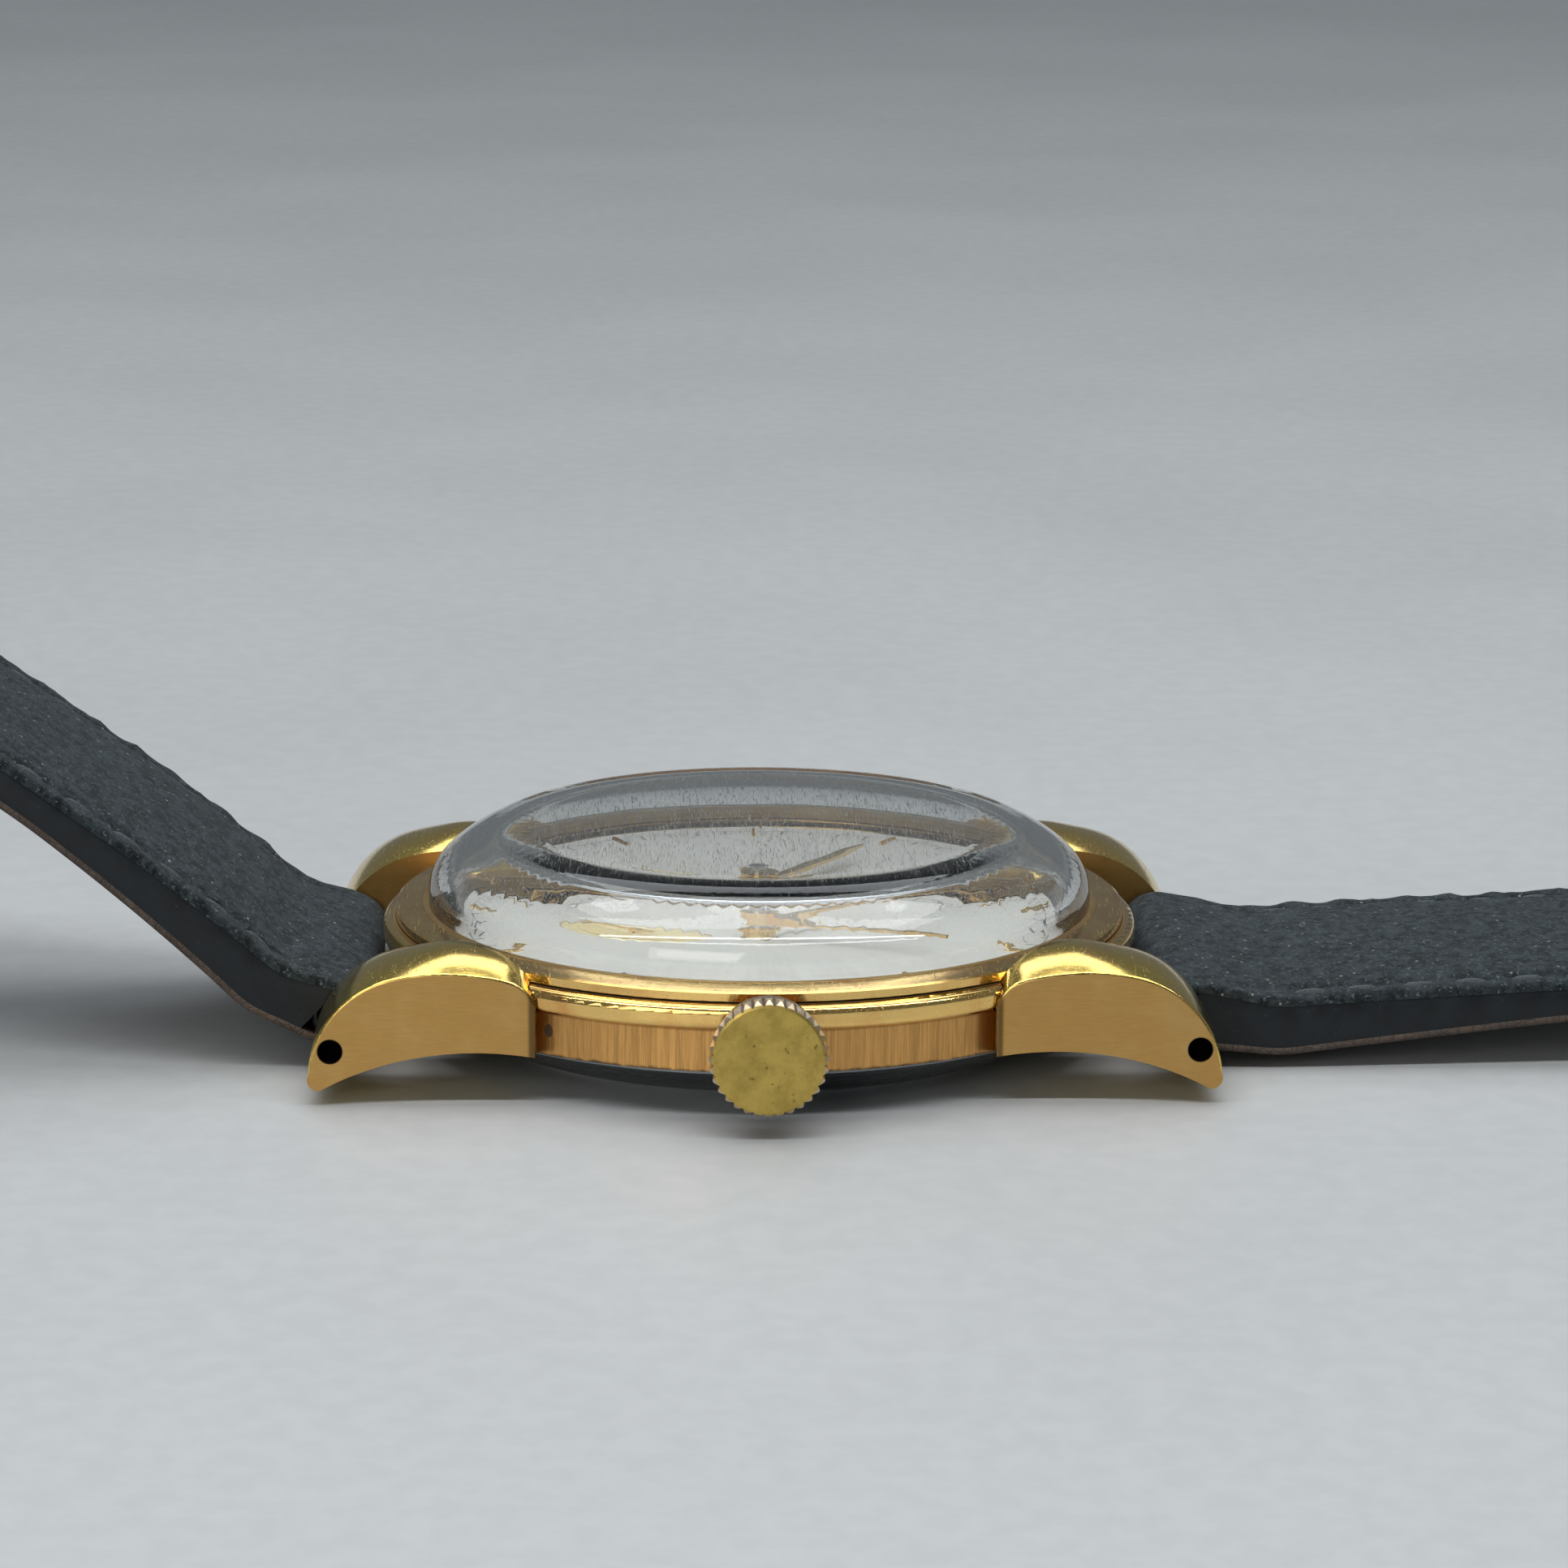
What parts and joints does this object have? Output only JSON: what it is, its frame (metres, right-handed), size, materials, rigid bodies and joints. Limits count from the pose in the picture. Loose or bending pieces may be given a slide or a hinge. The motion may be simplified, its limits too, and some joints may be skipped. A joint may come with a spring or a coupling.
{
  "type": "wristwatch",
  "caption": "Hand-wound round wristwatch with domed acrylic crystal, fluted winding crown, soldered lugs and a two-piece leather strap with tang buckle.",
  "frame": {"origin": "centre of the case back's flat resting face", "axes": "+Z out of the dial; +X to 3 o'clock, towards the crown; +Y to 12 o'clock, towards the buckle half of the strap"},
  "size_m": [0.039, 0.2166, 0.0256],
  "materials": {
    "gold_band": "vertically brushed gold band with a polished step",
    "gold_bezel": "polished gold with fine scratches",
    "gold_lug": "satin gold flats with polished edges",
    "brass_crown": "worn satin, plating rubbed",
    "gold_hands": "polished",
    "steel_back": "brushed steel cover, polished edge",
    "steel": "fine brushed",
    "plated_brass": "nickel-gilt plated, satin",
    "train_brass": "fine brushed",
    "ruby": "polished",
    "acrylic": "clear, lightly scratched",
    "dial_silver": "silvered satin",
    "nubuck": "napped dark slate nubuck, painted edges",
    "lining": "smooth calf lining",
    "felt": "compressed filler"
  },
  "bodies": {
    "case": {"case_middle": "gold_band", "bezel": "gold_bezel", "crystal": "acrylic", "case_back": "steel_back", "pendant_tube": "gold_bezel", "mainplate": "plated_brass", "barrel_bridge": "plated_brass", "train_bridge": "plated_brass", "balance_cock": "plated_brass", "pallet_cock": "plated_brass", "jewels": "ruby", "bridge_screws": "steel", "movement_ring": "plated_brass", "dial": "dial_silver", "hour_markers": "gold_hands", "hairspring": "steel", "lug_2_oclock": "gold_lug", "lug_4_oclock": "gold_lug", "lug_8_oclock": "gold_lug", "lug_10_oclock": "gold_lug", "spring_bar_short_side": "steel", "spring_bar_long_side": "steel"},
    "winding_pinion": {"winding_pinion": "steel"},
    "crown": {"crown": "brass_crown", "winding_stem": "steel"},
    "sliding_pinion": {"sliding_pinion": "steel"},
    "crown_wheel": {"crown_wheel": "steel"},
    "ratchet": {"ratchet_wheel": "steel", "barrel_arbor": "steel"},
    "click": {"click": "steel"},
    "barrel": {"barrel_drum": "train_brass", "barrel_cover": "train_brass", "mainspring": "steel"},
    "minutes": {"centre_wheel": "train_brass", "cannon_pinion": "steel", "minute_hand": "gold_hands"},
    "minute_wheel": {"minute_wheel": "train_brass"},
    "hours": {"hour_wheel": "train_brass", "hour_hand": "gold_hands"},
    "third_wheel": {"third_wheel": "train_brass"},
    "seconds": {"fourth_wheel": "train_brass", "seconds_hand": "gold_hands"},
    "escape_wheel": {"escape_wheel": "steel"},
    "pallet_fork": {"pallet_fork": "steel"},
    "balance": {"balance_wheel": "train_brass"},
    "plunger_2_oclock": {"plunger_2_oclock": "steel"},
    "plunger_4_oclock": {"plunger_4_oclock": "steel"},
    "plunger_8_oclock": {"plunger_8_oclock": "steel"},
    "plunger_10_oclock": {"plunger_10_oclock": "steel"},
    "strap_long": {"strap_long_top": "nubuck", "strap_long_padding": "felt", "strap_long_lining": "lining"},
    "strap_short": {"strap_short_top": "nubuck", "strap_short_padding": "felt", "strap_short_lining": "lining", "fixed_keeper": "nubuck", "buckle_bar": "steel"},
    "free_keeper": {"free_keeper": "nubuck"},
    "buckle": {"buckle_frame": "gold_bezel"},
    "tongue": {"buckle_tongue": "gold_bezel"}
  },
  "joints": [
    {"name": "crown_turn", "type": "hinge", "parent": "case", "child": "winding_pinion", "pos_m": [0, 0, 0.00384], "axis": [1, 0, 0], "continuous": true},
    {"name": "crown_pull", "type": "slide", "parent": "winding_pinion", "child": "crown", "axis": [1, 0, 0], "range_m": [0, 0.001]},
    {"name": "clutch_slide", "type": "slide", "parent": "winding_pinion", "child": "sliding_pinion", "axis": [-1, 0, 0], "range_m": [0, 0.0008]},
    {"name": "crown_wheel_turn", "type": "hinge", "parent": "case", "child": "crown_wheel", "pos_m": [0.00705, 0, 0.003], "axis": [0, 0, 1], "continuous": true},
    {"name": "ratchet_turn", "type": "hinge", "parent": "case", "child": "ratchet", "pos_m": [0.00111, 0.00577, 0.003], "axis": [0, 0, 1], "continuous": true},
    {"name": "click_swing", "type": "hinge", "parent": "case", "child": "click", "pos_m": [-0.00495, 0.00927, 0.003], "axis": [0, 0, -1], "range_deg": [-8, 0], "stiffness_Nm_per_rad": 0.00002},
    {"name": "seconds_turn", "type": "hinge", "parent": "case", "child": "seconds", "pos_m": [0, -0.0059, 0.003], "axis": [0, 0, -1], "continuous": true},
    {"name": "third_turn", "type": "hinge", "parent": "case", "child": "third_wheel", "pos_m": [-0.00219, -0.0033, 0.003], "axis": [0, 0, -1], "continuous": true},
    {"name": "minute_turn", "type": "hinge", "parent": "case", "child": "minutes", "pos_m": [0, 0, 0.003], "axis": [0, 0, -1], "continuous": true},
    {"name": "barrel_turn", "type": "hinge", "parent": "case", "child": "barrel", "pos_m": [0.00111, 0.00577, 0.003], "axis": [0, 0, -1], "continuous": true},
    {"name": "escape_turn", "type": "hinge", "parent": "case", "child": "escape_wheel", "pos_m": [-0.00322, -0.00647, 0.003], "axis": [0, 0, -1], "continuous": true},
    {"name": "minute_wheel_turn", "type": "hinge", "parent": "case", "child": "minute_wheel", "pos_m": [0.00216, -0.00151, 0.003], "axis": [0, 0, -1], "continuous": true},
    {"name": "hour_turn", "type": "hinge", "parent": "case", "child": "hours", "pos_m": [0, 0, 0.003], "axis": [0, 0, -1], "continuous": true},
    {"name": "pallet_swing", "type": "hinge", "parent": "case", "child": "pallet_fork", "pos_m": [-0.00537, -0.0049, 0.003], "axis": [0, 0, 1], "range_deg": [-5, 5]},
    {"name": "balance_swing", "type": "hinge", "parent": "case", "child": "balance", "pos_m": [-0.0077, -0.0032, 0.003], "axis": [0, 0, 1], "range_deg": [-270, 270], "stiffness_Nm_per_rad": 0.0000004},
    {"name": "plunger_2_oclock_press", "type": "slide", "parent": "case", "child": "plunger_2_oclock", "axis": [-1, 0, 0], "range_m": [0, 0.0022], "stiffness_N_per_m": 200},
    {"name": "plunger_4_oclock_press", "type": "slide", "parent": "case", "child": "plunger_4_oclock", "axis": [-1, 0, 0], "range_m": [0, 0.0022], "stiffness_N_per_m": 200},
    {"name": "plunger_8_oclock_press", "type": "slide", "parent": "case", "child": "plunger_8_oclock", "axis": [1, 0, 0], "range_m": [0, 0.0022], "stiffness_N_per_m": 200},
    {"name": "plunger_10_oclock_press", "type": "slide", "parent": "case", "child": "plunger_10_oclock", "axis": [1, 0, 0], "range_m": [0, 0.0022], "stiffness_N_per_m": 200},
    {"name": "strap_long_swing", "type": "hinge", "parent": "case", "child": "strap_long", "pos_m": [0, -0.01992, 0.00263], "axis": [-1, 0, 0], "range_deg": [-40, 35]},
    {"name": "strap_short_swing", "type": "hinge", "parent": "case", "child": "strap_short", "pos_m": [0, 0.01992, 0.00263], "axis": [1, 0, 0], "range_deg": [-60, 60]},
    {"name": "free_keeper_slide", "type": "slide", "parent": "strap_short", "child": "free_keeper", "axis": [0, 0.9986, -0.0523], "range_m": [-0.008, 0.0115]},
    {"name": "buckle_swing", "type": "hinge", "parent": "strap_short", "child": "buckle", "pos_m": [0, 0.08927, 0.00158], "axis": [1, 0, 0], "range_deg": [-60, 30]},
    {"name": "tongue_swing", "type": "hinge", "parent": "buckle", "child": "tongue", "pos_m": [0, 0.08927, 0.00158], "axis": [1, 0, 0], "range_deg": [0, 75]}
  ],
  "couplings": [
    {"joint": "clutch_slide", "follows": "crown_pull", "ratio": 0.8},
    {"joint": "crown_wheel_turn", "follows": "crown_turn", "ratio": 0.33333},
    {"joint": "ratchet_turn", "follows": "crown_turn", "ratio": -0.21212},
    {"joint": "third_turn", "follows": "seconds_turn", "ratio": -0.13333},
    {"joint": "minute_turn", "follows": "seconds_turn", "ratio": 0.016667},
    {"joint": "barrel_turn", "follows": "seconds_turn", "ratio": -0.0027778},
    {"joint": "escape_turn", "follows": "seconds_turn", "ratio": -10},
    {"joint": "minute_wheel_turn", "follows": "seconds_turn", "ratio": -0.0055556},
    {"joint": "hour_turn", "follows": "seconds_turn", "ratio": 0.0013889}
  ]
}
